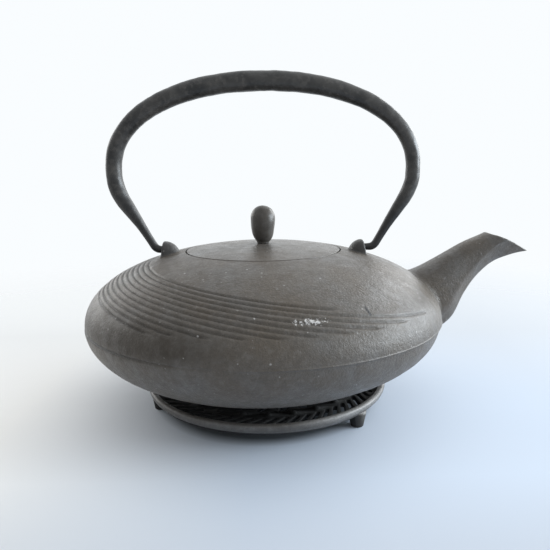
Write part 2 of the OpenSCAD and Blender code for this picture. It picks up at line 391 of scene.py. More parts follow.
def cast_iron(name, level, warm, roughness, grain=1.0, specks=0.0, scuff=None, nick=(), dirt_and_shade=False,
              inside=None, dark_patch=None, painted_highlight=None):
    """Painted cast iron: sand grain, cloudy and mottled colour, and small pale chips.

    scuff, the darker brown patch and the painted highlight are each a middle and a reach along each axis in
    metres, and nick is a row of middles. The mesh's marks darken the grooves with dirt and painted shade, the
    rear crease and the lid's gap with painted shade, and the lugs; inside paints shade into a cylinder and
    onto all that is low.
    """
    s = Shader(name)
    clouds = s.noise(26, 4, 0.6)
    blotches = s.noise(6, 3, 0.6)
    mottle = s.noise(2.6, 2, 0.5)
    sand = s.noise(1.1, 3, 0.62)
    fine = s.noise(0.42, 2, 0.6)
    colour = s.mix(s.span(clouds, 0.38, 0.62), grey(level * 0.84, warm * 1.8), grey(level * 1.14, warm * 0.5))
    # Noise, where in it a layer starts and is full, its full share, its brightness and its warmth
    layers = [
        (blotches, 0.35, 0.7, 0.6, 0.68, 1.9),
        (mottle, 0.5, 0.68, 0.45, 0.6, 1.4),
        (mottle, 0.44, 0.3, 0.35, 1.5, 0.6),
        (sand, 0.56, 0.78, 0.4, 1.9, 1.0),
        (fine, 0.5, 0.25, 0.5, 0.35, 1.0),
    ]
    for noise, start, full, share, brightness, warmth in layers:
        shade = grey(level * brightness, warm * warmth)
        colour = s.mix(s.span(noise, start, full, 0.0, share), colour, shade)
    # A darker brown patch with a ragged edge, below the grooves on the front left
    if dark_patch:
        ragged = s.span(blotches, 0.3, 0.6, 0.5, 0.95)
        share = s.times(s.span(s.distance(*dark_patch), 1.15, 0.5), ragged)
        colour = s.mix(share, colour, grey(level * 0.24, warm * 3.0))
    # Painted highlight: a lighter patch with a ragged edge where light from the right falls on the trivet's
    # rim
    if painted_highlight:
        ragged = s.span(sand, 0.4, 0.6, 0.5, 1.0)
        share = s.times(s.span(s.distance(*painted_highlight), 1.0, 0.4), ragged)
        colour = s.mix(share, colour, grey(level * 2.2, 0.03))
    # Dirt and painted shade in the grooves, painted shade in the rear crease and the lid's gap, and darker
    # lugs
    if dirt_and_shade:
        dirt_and_shade_share = s.span(s.attribute("dirt_and_shade_mark"), 0.22, 0.75, 0.0, 0.92)
        colour = s.mix(dirt_and_shade_share, colour, grey(level * 0.19, warm * 1.3))
        colour = s.mix(s.times(s.attribute("lug"), 0.85), colour, grey(level * 0.3, 0.0))
    rough = s.span(blotches, 0.3, 0.7, roughness - 0.06, roughness + 0.08)
    rough = s.maths("SUBTRACT", rough, s.span(sand, 0.52, 0.7, 0.0, 0.12))
    if specks:
        for size_mm, share, strength in ((3.1, specks, 0.75), (1.9, specks * 0.6, 0.45)):
            distance, lot = s.cells(size_mm)
            chip = s.times(s.span(distance, 0.18, 0.11), s.span(lot, 1 - share, 1 - share + 0.01))
            chip = s.times(chip, s.span(sand, 0.42, 0.56))
            chip = s.times(chip, s.span(clouds, 0.4, 0.55, 0.35, 1.0))
            colour = s.mix(s.times(chip, strength), colour, grey(0.5, 0.02))
    if scuff:
        flakes = s.maths("SUBTRACT", s.noise(0.95, 3, 0.7), s.times(s.distance(*scuff), 0.17))
        flakes = s.maths("GREATER_THAN", flakes, 0.43)
        colour = s.mix(s.times(flakes, 0.85), colour, grey(0.66, 0.02))
    for middle in nick:
        cut = s.span(s.distance(middle, (0.75 * MM, 0.8 * MM, 0.8 * MM)), 1.15, 0.75)
        colour = s.mix(s.times(cut, 0.9), colour, grey(level * 0.12))
    # Painted shade: darker inside the trivet's rim and on all that is low, the feet among it
    if inside:
        low = s.span(s.axes()[2], 7.6 * MM, 6.6 * MM, 0.0, 0.82)
        deep = s.maths("MAXIMUM", s.within(*inside), low)
        colour = s.mix(deep, colour, grey(level * 0.08, 0.0))
        rough = s.maths("MAXIMUM", rough, s.times(deep, 0.85))
    normal = s.bump(blotches, 0.22 * grain)
    normal = s.bump(sand, 0.24 * grain, normal)
    normal = s.bump(fine, 0.11 * grain, normal)
    return s.set(colour=colour, roughness=rough, normal=normal, ior=1.5)


def forged_iron(name, level, roughness):
    """Black forged iron with soft hammer marks, rubbed lighter on its high spots."""
    s = Shader(name)
    marks = s.noise(9, 2, 0.5)
    streaks = s.noise(2.6, 3, 0.6)
    fine = s.noise(0.5, 2, 0.6)
    colour = s.mix(s.span(marks, 0.35, 0.65), grey(level * 0.55, -0.03), grey(level * 1.5, 0.05))
    colour = s.mix(s.span(streaks, 0.5, 0.75, 0.0, 0.6), colour, grey(level * 2.8, 0.08))
    legs = s.span(s.axes()[2], 112 * MM, 94 * MM, 0.0, 0.8)
    colour = s.mix(legs, colour, grey(level * 0.35, -0.04))
    rough = s.span(streaks, 0.3, 0.7, roughness - 0.08, roughness + 0.1)
    normal = s.bump(marks, 0.35)
    normal = s.bump(streaks, 0.08, normal)
    normal = s.bump(fine, 0.03, normal)
    return s.set(colour=colour, roughness=rough, normal=normal, ior=1.5)


def steel(name, brushed_mm, roughness):
    """Thin stainless steel with fine drawing marks and a few tea stains."""
    s = Shader(name)
    marks = s.noise(brushed_mm, 2, 0.6, stretch=(1.0, 1.0, 12.0))
    stains = s.noise(9, 3, 0.6)
    colour = s.mix(s.span(marks, 0.3, 0.7), grey(0.46, 0.02), grey(0.62, 0.01))
    colour = s.mix(s.span(stains, 0.5, 0.75, 0.0, 0.5), colour, (0.30, 0.22, 0.14, 1.0))
    rough = s.span(stains, 0.4, 0.7, roughness, roughness + 0.2)
    normal = s.bump(marks, 0.012)
    return s.set(colour=colour, roughness=rough, normal=normal, metallic=1.0)


# ---------- pot casting

# The grooves are rings round an axis beside the pot's own, each one step further down the crown
GROOVES = 11
GROOVE_AXIS = (14.7, radians(-11.4))  # distance and direction from the pot's axis
GROOVE_FIRST_R = 72.1
GROOVE_PITCH = 2.75
GROOVE_DEPTH = 0.85
GROOVE_SHARPNESS = 4.5  # the higher it is, the narrower are the grooves
GROOVE_END = 11.5  # distance from the girth where a groove runs out
GROOVE_LONGER = 0.9  # how much nearer they run on the side away from the spout
GROOVE_FADE = 0.8  # distance over which a groove runs out
FIRST_GROOVE_END = (66, 73)  # degrees from the spout where the first groove fades out
PARTING_RIDGE = 0.24  # flash left standing on the spout's half of the line
PARTING_CREASE = 0.5  # depth of the line on the other half
PARTING_STEP = 0.2  # how far the lower half of the mould stands back
STEP_REACH = 0.4  # height over which the lower half steps back
MOULD_SHIFT = 0.5  # how far the lower half has slipped away from the spout


def crown_curve(r_end, side_r, rise, steps):
    """Points on the crown from the girth up to radius r_end."""
    last = acos((r_end / side_r) ** (CROWN_POWER / 2))
    a = np.linspace(0, last, steps)
    radius = side_r * np.cos(a) ** (2 / CROWN_POWER)
    height = GIRTH_Z + rise * np.sin(a) ** (2 / CROWN_POWER)
    return np.stack([radius, height], -1)


def run_lengths(points):
    """Distance along a polyline at each of its points."""
    return np.concatenate([[0], np.cumsum(np.linalg.norm(np.diff(points, axis=0), axis=1))])


def along(points, lengths, wanted):
    """Points at wanted distances along a polyline."""
    return np.stack([np.interp(wanted, lengths, points[:, k]) for k in range(points.shape[1])], -1)


crown_line = crown_curve(0, GIRTH_R, CROWN_H, 6000)
crown_run = run_lengths(crown_line)


def climb_at(radius):
    """Distance from the girth up the crown to a radius."""
    return np.interp(-np.asarray(radius), -crown_line[:, 0], crown_run)


def groove_cut(climb, angles):
    """How deep the grooves are, from 0 to 1, at a distance above the girth and an angle."""
    beside, towards = GROOVE_AXIS
    turn = angles - towards
    first_r = beside * np.cos(turn) + np.sqrt(GROOVE_FIRST_R ** 2 - (beside * np.sin(turn)) ** 2)
    first = climb_at(np.minimum(first_r, GIRTH_R))
    number = np.clip(np.round((first - climb) / GROOVE_PITCH), 0, GROOVES - 1)
    middle = first - number * GROOVE_PITCH
    from_middle = np.abs(climb - middle) / (GROOVE_PITCH / 2)
    depth = (0.5 + 0.5 * np.cos(pi * np.minimum(from_middle, 1))) ** GROOVE_SHARPNESS
    far_side = np.clip((-np.cos(angles) - 0.4) / 0.15, 0, 1)
    end = GROOVE_END - GROOVE_LONGER * far_side
    fade = np.clip((middle - end) / GROOVE_FADE, 0, 1)
    off_spout = np.degrees(np.abs(np.arctan2(np.sin(angles), np.cos(angles))))
    start, full = FIRST_GROOVE_END
    first_fade = np.clip((off_spout - start) / (full - start), 0, 1)
    fade = np.where(number == 0, fade * first_fade, fade)
    return depth * fade * fade * (3 - 2 * fade)


def belly_line(r_end, side_r, drop, steps, crease=0.0):
    """Points on the belly from radius r_end up to the girth, which a crease tucks in below the girth."""
    last = acos(r_end / side_r)
    a = last * np.linspace(1, 1 / steps, steps) ** 1.35
    below = drop * np.sin(a)
    tucked = crease * (1 - np.exp(-below / 3)) * np.exp(-below / 12)
    if crease:
        tucked = tucked + PARTING_STEP * (1 - np.exp(-below / STEP_REACH)) * np.exp(-below / 16)
    return np.stack([side_r * np.cos(a) - tucked, GIRTH_Z - below], -1)


def pot_profile():
    """The pot's section, each point's way up the crown or -1 off it, and the slice that is the outside."""
    mouth_climb = climb_at(MOUTH_R)
    band_low = GROOVE_END - 1.5
    band_top = climb_at(GROOVE_FIRST_R - GROOVE_AXIS[0] - 2)
    climbs = np.concatenate([
        np.arange(0, 1.4, 0.2),
        np.arange(1.4, band_low, 0.6),
        np.arange(band_low, band_top, 0.36),
        np.arange(band_top, mouth_climb - 0.6, 1.1),
    ])
    crown = along(crown_line, crown_run, climbs)
    belly = belly_line(FOOT_R + 3, GIRTH_R, BELLY_H, 54, crease=0.35)
    foot = rounded([(0, FOOT_Z, 0), (FOOT_R, FOOT_Z, 0.8), (*belly[0], 0)])[:-1]
    mouth_z = np.interp(-MOUTH_R, -crown_line[:, 0], crown_line[:, 1])
    lip = along(crown_line, crown_run, [mouth_climb - 0.5])[0]
    collar_r, collar_z = THROAT_R + 6, LEDGE_Z - 3.6
    inside = rounded([
        (*lip, 0), (MOUTH_R, mouth_z, 0.5), (MOUTH_R, LEDGE_Z, 0.3), (THROAT_R, LEDGE_Z, 0.5),
        (THROAT_R, collar_z, 0.5), (collar_r, collar_z, 1.2), (collar_r + 3, 73.1, 0)])
    inner_r = GIRTH_R - WALL
    inner_crown = crown_curve(collar_r + 3.2, inner_r, CROWN_H - WALL, 26)[::-1]
    inner_belly = belly_line(36, inner_r, BELLY_H - WALL, 20)[::-1]
    floor_z = FOOT_Z + WALL + 1
    inner_floor = [[30, floor_z], [0, floor_z]]
    parts = [foot, belly, crown, inside, inner_crown, inner_belly, inner_floor]
    marks = [np.full(len(part), -1.0) for part in parts]
    marks[2] = climbs
    outer_end = sum(len(part) for part in parts[:3])
    return np.vstack(parts), np.concatenate(marks), slice(len(foot), outer_end)


def pot_casting_shell():
    """The pot's body with its grooves, its parting line and the unevenness of a sand casting."""
    profile, climbs, outside = pot_profile()
    radius, height = profile[outside, :1], profile[outside, 1:]
    off_girth = height - GIRTH_Z
    ridge = PARTING_RIDGE * np.exp(-(off_girth / 0.38) ** 2)
    crease = PARTING_CREASE * np.exp(-((off_girth + 0.1) / 0.45) ** 2)
    below = np.clip(-off_girth, 0, None)
    slipped = MOULD_SHIFT * (1 - np.exp(-below / STEP_REACH)) * np.clip((radius - FOOT_R) / 20, 0, 1)

    def shift(points, angles):
        amount = np.zeros((len(profile), len(angles)))
        on_crown = climbs >= 0
        amount[on_crown] -= GROOVE_DEPTH * groove_cut(climbs[on_crown, None], angles[None, :])
        towards_spout = np.cos(angles)
        amount[outside] += ridge * np.clip(0.6 + 1.5 * towards_spout, 0, 1)
        amount[outside] -= crease * np.clip(-0.1 - 2 * towards_spout, 0, 1)
        amount[outside] -= slipped * towards_spout
        amount[outside] += 0.05 * lumps(points[outside], 30, 1) + 0.022 * lumps(points[outside], 9, 2)
        return amount

    return revolve("pot_casting", profile, 312, shift=shift)


def above_pot(points):
    """Approximate height of points over the pot's outer surface."""
    radius = np.hypot(points[..., 0], points[..., 1])
    off = points[..., 2] - GIRTH_Z
    rise = np.where(off > 0, CROWN_H, BELLY_H)
    power = CROWN_POWER
    a, b = radius / GIRTH_R, np.abs(off) / rise
    level = (a ** power + b ** power) ** (1 / power)
    slope = np.hypot(a ** (power - 1) / GIRTH_R, b ** (power - 1) / rise) * level ** (1 - power)
    return (level - 1) / np.maximum(slope, 1e-6)


def flared(points, outward, radius):
    """Steps points outward where they meet the pot, so that the corner is a small fillet."""
    rest = np.clip(radius - above_pot(points), 0, radius)
    step = radius - np.sqrt(np.maximum(radius ** 2 - rest ** 2, 0))
    return points + unit(outward) * step[..., None]


def mid_wall():
    """A closed solid that ends in the middle of the pot's wall."""
    half = WALL / 2
    side_r = GIRTH_R - half
    crown = crown_curve(0.01, side_r, CROWN_H - half, 40)
    belly = belly_line(FOOT_R, side_r, BELLY_H - half, 30)
    return revolve("tool", np.vstack([[[0, FOOT_Z + 3]], belly, crown]), 180)


# Centre x, centre z, direction in degrees above level, height, width, height of the keel's
# slanted face, and width of the keel's lower edge as a share of the width
SPOUT = [
    (76.3, 49.2, 30, 34.4, 32, 9.5, 0.50),
    (91.5, 57.4, 25, 31.2, 25, 9.4, 0.45),
    (100.8, 67.3, 24, 23.1, 20, 8.0, 0.36),
    (108.9, 74.7, 25, 18.2, 17, 7.0, 0.32),
    (117.5, 79.9, 26, 15.3, 16, 8.2, 0.28),
    (127, 83.7, 22, 15.9, 17, 11.5, 0.20),
    (139.4, 86.6, 15, 17, 17.6, 14.5, 0.04),
]
MOUTH_BACK = (117.0, 88.1)  # x and z of the mouth's back corner
MOUTH_SLOPE = radians(25)
MOUTH_BULGE = 0.6  # rise of the lip's middle over a straight cut
MOUTH_LENGTH = 21.3
MOUTH_CORNER = (0.5, 0.3, 1.6)  # depth, place and half width of what is off the back corner
SPOUT_WALL = 2.3
SPOUT_HOLE = (85, 57, 30, 6.5)  # x, z, direction and radius of the way into the spout


def spout_section(height, width, keel, keel_share):
    """Half of a section, from the middle of its top round one side to the middle of its keel."""
    squareness = 2 / 2.5
    shoulder = height * 0.40
    a = np.linspace(0, pi / 2, 13)[:-1]
    top_z = height / 2 - shoulder * (1 - np.cos(a) ** squareness)
    top = np.stack([width / 2 * np.sin(a) ** squareness, top_z], -1)
    ridge = np.array([width / 2 * 0.99, -height / 2 + keel])
    edge = np.array([width / 2 * keel_share, -height / 2])
    side = np.linspace([width / 2, height / 2 - shoulder], ridge, 10)[:-1]
    slant = np.linspace(ridge, edge, 9)[:-1]
    bottom = np.linspace(edge, [0, -height / 2], 4)
    return np.vstack([top, side, slant, bottom])


def spout_lines(inset):
    """Rows of rings up the spout: an array of row, point round the ring, and x, y, z."""
    rings = []
    for x, z, tilt, height, width, keel, share in smooth_rows(SPOUT, 40):
        half = spout_section(height - 2 * inset, width - 2 * inset, keel - inset * 0.6, share)
        ring = np.vstack([half, half[-2:0:-1] * [-1, 1]])
        for _ in range(2):
            ring = (np.roll(ring, 1, 0) + 2 * ring + np.roll(ring, -1, 0)) / 4
        tilt = radians(tilt)
        across, up = ring.T
        rings.append(np.stack([x - up * sin(tilt), across, z + up * cos(tilt)], -1))
    return np.array(rings)


def up_to_mouth(lines, rows, short=0.0):
    """Cuts each line up the spout short of the mouth's plane and spreads its points evenly again."""
    ahead = lines[..., 0] - MOUTH_BACK[0]
    over = (lines[..., 2] - MOUTH_BACK[1]) + ahead * tan(MOUTH_SLOPE)
    over -= MOUTH_BULGE * np.sin(pi * np.clip(ahead / MOUTH_LENGTH, 0, 1)) ** 2
    depth, place, half_w = MOUTH_CORNER
    over += depth * np.exp(-((ahead - place) / half_w) ** 2)
    over = over * cos(MOUTH_SLOPE) + short
    cut = []
    for line, height in zip(lines.swapaxes(0, 1), over.T):
        first = int(np.argmax(height > 0))
        stop = first - 1 + height[first - 1] / (height[first - 1] - height[first])
        cut.append(along(line, np.arange(len(line)), np.linspace(0, stop, rows)))
    return np.stack(cut, 1)


def spout_shell():
    """The spout as a tube with a rounded lip round its slanted mouth."""
    round_lip = 0.55
    fillet = 0.8
    outer_lines = spout_lines(0)
    outer_lines = flared(outer_lines, outer_lines - outer_lines.mean(1, keepdims=True), fillet)
    outer = up_to_mouth(outer_lines, 90, round_lip)
    outer_edge = up_to_mouth(outer_lines, 90)[-1]
    inner_lines = spout_lines(SPOUT_WALL)
    inner = up_to_mouth(inner_lines, 60, round_lip)
    inner_edge = up_to_mouth(inner_lines, 60)[-1]
    across = inner_edge - outer_edge
    width = np.linalg.norm(across, axis=1, keepdims=True)
    step = unit(across) * np.minimum(round_lip, width * 0.35)
    lip = [outer_edge + step * 0.3, outer_edge + step, inner_edge - step, inner_edge - step * 0.3]
    rings = np.concatenate([outer, lip, inner[::-1]])
    rings += (lumps(rings, 16, 5) * 0.06)[..., None] * [0, 1, 1]
    count, columns = rings.shape[:2]
    return make_object("spout_tool", rings.reshape(-1, 3), grid_faces(count, columns, True))


LUG_FACE_X = {1: 53.1, -1: 52.4}  # the spout side's lug stands slightly further out
LUG_R = {1: 8.5, -1: 8.8}
LUG_HALF_W = 6.0
LUG_Z = 76.6
LUG_LEAN = {1: 0.14, -1: 0.08}  # how far the face leans in for each step up
LUG_BORE_DEPTH = 6.4
LUG_BORE_R = 1.83


def lug_shell(side):
    """One lug: a dome with a flat outer face that the bail's pin enters."""
    edge = 0.9
    fillet = 0.9
    squareness = 2.7
    face_x = LUG_FACE_X[side]
    lug_r = LUG_R[side]
    around = circle_angles(72)
    share_up = (np.abs(np.cos(around)) / lug_r) ** squareness
    share_across = (np.abs(np.sin(around)) / LUG_HALF_W) ** squareness
    reach = (share_up + share_across) ** (-1 / squareness)
    rows = [(0.0, share) for share in (0.25, 0.5, 0.75)]
    rows += [(edge * (1 - cos(b)), 1 - edge / lug_r * (1 - sin(b))) for b in np.linspace(0, pi / 2, 5)]
    rows += [(edge + lug_r * sin(b), cos(b)) for b in np.linspace(0.06, 1.5, 22)]
    rings = []
    for depth, share in rows:
        radius = reach * share
        up = radius * np.cos(around)
        lean = LUG_LEAN[side] * up * max(0, 1 - depth / lug_r)
        rings.append(np.stack([face_x - depth - lean, radius * np.sin(around), LUG_Z + up], -1))
    rings = np.array(rings)
    rings = flared(rings, (rings - [face_x - lug_r * 0.35, 0, 0]) * [1, 1, 0], fillet)
    rings = rings + (0.05 * lumps(rings, 6, 11 + side))[..., None]
    poles = np.array([rings[0].mean(0), rings[-1].mean(0) - [0.02, 0, 0]])
    mirror = [side, 1, 1]
    return capped_tube("lug_tool", rings * mirror, poles * mirror)


def pot_casting():
    """The pot, its spout and its two lugs, which are one casting."""
    pot = pot_casting_shell()
    for outer_part in (spout_shell(), lug_shell(1), lug_shell(-1)):
        combine(outer_part, mid_wall(), "DIFFERENCE")
        combine(pot, outer_part)
    for side in (-1, 1):
        deep = (side * (LUG_FACE_X[side] - LUG_BORE_DEPTH), 0, PIVOT_Z)
        out = (side * (LUG_FACE_X[side] + 3), 0, PIVOT_Z)
        combine(pot, cylinder_between(deep, out, LUG_BORE_R), "DIFFERENCE")
    x, z, tilt, radius = SPOUT_HOLE
    half_length = 9
    way = np.array([cos(radians(tilt)), 0, sin(radians(tilt))]) * half_length
    middle = np.array([x, 0, z])
    combine(pot, cylinder_between(middle - way, middle + way, radius), "DIFFERENCE")
    mark_dirt_and_shade(pot)
    return pot


def mark_dirt_and_shade(pot):
    """Marks dirt and painted shade in the grooves, painted shade in the rear crease and the lid's gap, and
    the lugs.
    """
    mesh = pot.data
    points = np.zeros(len(mesh.vertices) * 3)
    mesh.vertices.foreach_get("co", points)
    points = points.reshape(-1, 3) / MM - [POT_X, 0, 0]
    x, y, z = points.T
    radius = np.hypot(x, y)
    height = above_pot(points)
    off_skin = np.abs(height + 0.3)
    depth = groove_cut(climb_at(np.minimum(radius, GIRTH_R)), np.arctan2(y, x))
    groove = np.where((z > GIRTH_Z) & (off_skin < 0.9), depth, 0)
    off_crease = z - GIRTH_Z + 0.3
    behind = np.clip(-0.25 - 1.3 * x / GIRTH_R, 0, 1) * (off_skin < 1.2)
    crease = behind * np.exp(-(off_crease / np.where(off_crease < 0, 0.8, 1.3)) ** 2)
    lid_gap = (np.abs(radius - MOUTH_R + 0.1) < 0.3) & (z > LEDGE_Z)
    dirt_and_shade_mark = np.maximum(groove, np.maximum(crease, lid_gap))
    by_lug = np.abs(np.abs(x) - 48.5) / 7.5 + np.abs(y) / 14
    on_lug = (height > 0.25) & (by_lug < 1.2) & (z > LEDGE_Z)
    for name, values in (("dirt_and_shade_mark", dirt_and_shade_mark), ("lug", on_lug)):
        mesh.attributes.new(name, "FLOAT", "POINT").data.foreach_set("value", values.astype(np.float32))


# ---------- lid, knob and washer

LID_SEAT_Z = flange_high[2] + 0.3
KNOB_R = 6.3
TANG_R = 1.9
# Height and radius of the knob's outline, both as fractions
KNOB = [(0, 0.5), (0.04, 0.52), (0.1, 0.68), (0.22, 0.85), (0.42, 0.96), (0.62, 1.0), (0.76, 0.95),
        (0.89, 0.73), (0.96, 0.46), (0.99, 0.23), (1.0, 0.0)]


def crown_height(r):
    """Height of the crown at a radius."""
    return GIRTH_Z + CROWN_H * (1 - (r / GIRTH_R) ** CROWN_POWER) ** (1 / CROWN_POWER)


def lid():
    """The lid: a cap that carries on the crown, with a ring below that enters the infuser."""
    ring_r, ring_inner_r, ring_z = 33.4, 31.0, lid_low[2]
    top = [(r, crown_height(r)) for r in np.linspace(LID_R - 0.45, 0, 40)]
    under = rounded([
        (0, LID_TOP_Z - 3.0, 0), (12, LID_TOP_Z - 3.2, 3), (24, crown_height(24) - 3, 2),
        (ring_inner_r, LID_SEAT_Z + 0.6, 0.8), (ring_inner_r, ring_z, 0.6), (ring_r, ring_z, 0.6),
        (ring_r, LID_SEAT_Z, 0.4), (LID_R, LID_SEAT_Z, 0.3), (LID_R, crown_height(LID_R), 0.45),
        (*top[0], 0)])
    profile = np.vstack([under, top[1:]])

    def shift(points, angles):
        off_edge = np.clip((LID_R - profile[:, :1]) / 6, 0, 1)
        return (0.05 * lumps(points, 26, 3) + 0.02 * lumps(points, 8, 4)) * off_edge

    return revolve("lid_casting", profile, 200, shift=shift)


def knob():
    """The egg-shaped knob, whose tang goes through the lid and is headed over under the washer."""
    base = LID_TOP_Z + 0.02
    head_z, head_r, head_t = knob_low[2], 3.0, 0.8
    tang = rounded([
        (0, head_z, 0), (head_r, head_z, 0.4), (head_r, head_z + head_t, 0.2),
        (TANG_R, head_z + head_t, 0), (TANG_R, base - 0.6, 0), (KNOB_R * 0.4, base - 0.02, 0),
        (KNOB_R * 0.48, base, 0)])
    rows = smooth_rows(KNOB, 8)
    outside = np.stack([rows[:, 1] * KNOB_R, base + rows[:, 0] * (knob_high[2] - base)], -1)
    profile = np.vstack([tang, outside[1:]])

    def shift(points, angles):
        return 0.09 * lumps(points, 11, 6) * (profile[:, 1:] > base + 1)

    return revolve("knob", profile, 96, shift=shift)


def washer():
    """The washer between the lid and the tang's head."""
    bore_r, outer_r = TANG_R + 0.05, 5.0
    low, high = washer_low[2], washer_high[2]
    outline = [(bore_r, low, 0.2), (outer_r, low, 0.3), (outer_r, high, 0.3), (bore_r, high, 0.2)]
    return ring_section("washer", outline, 64)


# ---------- infuser

BASKET_R = 34.2
BASKET_T = 0.4
HOLE_R = 0.72


def infuser_flange():
    """The flange that rests on the pot's ledge, with the collar that the wall hangs from."""
    inner = BASKET_R - BASKET_T
    low, seat, top = flange_low[2], flange_high[2] - 0.5, flange_high[2]
    outer = (flange_high[0] - flange_low[0]) / 2
    return ring_section("basket_flange", [
        (inner, low, 0.15), (BASKET_R, low, 0.15), (BASKET_R, seat, 0.5), (outer, seat, 0.24),
        (outer, top, 0.24), (inner + 0.3, top, 0.6), (inner, top - 0.6, 0.3)], 160)


def infuser_wall():
    """Perforated steel: staggered rows of holes, each in its own cell of eight quads."""
    low, high = base_high[2], flange_low[2]
    columns = 76
    rows = 12
    border = 1.2
    cell_w, cell_h = 2 * pi / columns, (high - low - 2 * border) / rows
    corners = [(-1, -1), (0, -1), (1, -1), (1, 0), (1, 1), (0, 1), (-1, 1), (-1, 0)]
    points, faces, known = [], [], {}

    def point(key, angle, z):
        """One point on each side of the sheet; returns the index of the outer one."""
        if key not in known:
            known[key] = len(points)
            for r in (BASKET_R, BASKET_R - BASKET_T):
                points.append((r * cos(angle), r * sin(angle), z))
        return known[key]

    def sheet(quad):
        """One quad on each side of the sheet."""
        faces.append(tuple(quad))
        faces.append(tuple(i + 1 for i in reversed(quad)))

    for j in range(rows):
        middle_z = low + border + (j + 0.5) * cell_h
        for i in range(columns):
            half_steps = 2 * i + 1 + j % 2
            rim, hole = [], []
            for n, (dx, dz) in enumerate(corners):
                lattice = ((half_steps + dx) % (2 * columns), 2 * j + 1 + dz)
                rim.append(point(lattice, (half_steps + dx) * cell_w / 2, middle_z + dz * cell_h / 2))
                a = atan2(dz, dx)
                angle = half_steps * cell_w / 2 + HOLE_R * cos(a) / BASKET_R
                hole.append(point(("hole", i, j, n), angle, middle_z + HOLE_R * sin(a)))
            for n in range(8):
                m = (n + 1) % 8
                sheet([rim[n], rim[m], hole[m], hole[n]])
                faces.append((hole[n], hole[m], hole[m] + 1, hole[n] + 1))
    for level, edge_z in ((0, low), (2 * rows, high)):
        for i in range(2 * columns):
            k = (i + 1) % (2 * columns)
            a, b = known[(i, level)], known[(k, level)]
            c = point(("edge", i, level), i * cell_w / 2, edge_z)
            d = point(("edge", k, level), k * cell_w / 2, edge_z)
            sheet([a, b, d, c])
            faces.append((c, d, d + 1, c + 1))
    return make_object("basket_wall", points, faces)


def plate(name, radius, holes, low, high, bevel, sides):
    """A flat round plate with bevelled edges and holes, where each hole is a list of (x, y) points."""
    curve = bpy.data.curves.new(name, "CURVE")
    curve.dimensions = "2D"
    curve.fill_mode = "BOTH"
    for loop in [circle(radius, sides), *holes]:
        spline = curve.splines.new("POLY")
        spline.points.add(len(loop) - 1)
        spline.use_cyclic_u = True
        for target, (x, y) in zip(spline.points, loop):
            target.co = (x * MM, y * MM, 0, 1)
    curve.extrude = (high - low) / 2 * MM - bevel * MM
    curve.bevel_depth = bevel * MM
    curve.bevel_resolution = 1
    curve.offset = -bevel * MM
    holder = add_object("holder", curve)
    mesh = evaluated_mesh(holder)
    bpy.data.objects.remove(holder)
    work = bmesh.new()
    work.from_mesh(mesh)
    bmesh.ops.remove_doubles(work, verts=work.verts, dist=1e-6)
    bmesh.ops.translate(work, vec=Vector((POT_X, 0, (low + high) / 2)) * MM, verts=work.verts)
    bmesh.ops.recalc_face_normals(work, faces=work.faces)
    work.to_mesh(mesh)
    work.free()
    return add_object(name, mesh)


def infuser_base():
    """The basket's round base with rings of holes."""
    pitch = 2.9
    holes = []
    for ring in range(1, 11):
        count = int(round(2 * pi * ring))
        for i in range(count):
            a = 2 * pi * i / count + ring
            holes.append(circle(HOLE_R, 8, (ring * pitch * cos(a), ring * pitch * sin(a))))
    return plate("basket_base", BASKET_R, holes, base_low[2], base_high[2] - 0.01, 0.05, 96)


# ---------- bail

BAIL_SHIFT = 1.1  # how far the bail sits towards the spout
ARCH_POWER = 2.15
ARCH_Z = 122.0
BAIL_HALF_W = 75.8
BAIL_TOP_R = 4.9
BAIL_SIDE_R = 3.9
BAIL_TOP_Z = bail_high[2] - BAIL_TOP_R
SEAM_DEPTH = 0.16
PIN_R = 1.75
PIN_TIP_X = 47.4
# One leg below the arch: x, z and radius of the bar
LEG = [
    (75.8, 122, 3.9), (75.3, 115, 3.9), (72.7, 108, 3.7), (68.3, 101, 3.2), (64.0, 94.3, 2.45),
    (60.3, 88, 2.05), (58.3, 84.6, 2.0), (57.0, 82.6, 2.0), (55.4, 81.5, 1.95), (54, PIVOT_Z, 1.85),
    (52.6, PIVOT_Z, PIN_R), (50, PIVOT_Z, PIN_R), (PIN_TIP_X + 0.4, PIVOT_Z, PIN_R),
    (PIN_TIP_X, PIVOT_Z, PIN_R * 0.6),
]


def half_bail():
    """Points from the top of the bail to the tip of one pin, with the bar's radius."""
    a = np.linspace(0, pi / 2, 90)
    arch = np.stack([
        BAIL_HALF_W * np.sin(a) ** (2 / ARCH_POWER),
        ARCH_Z + (BAIL_TOP_Z - ARCH_Z) * np.cos(a) ** (2 / ARCH_POWER),
        BAIL_SIDE_R + (BAIL_TOP_R - BAIL_SIDE_R) * np.cos(a) ** 2], -1)
    line = np.vstack([arch[:-1], smooth_rows(LEG, 10)])
    lengths = run_lengths(line[:, :2])
    return along(line, lengths, np.linspace(0, lengths[-1], 170))


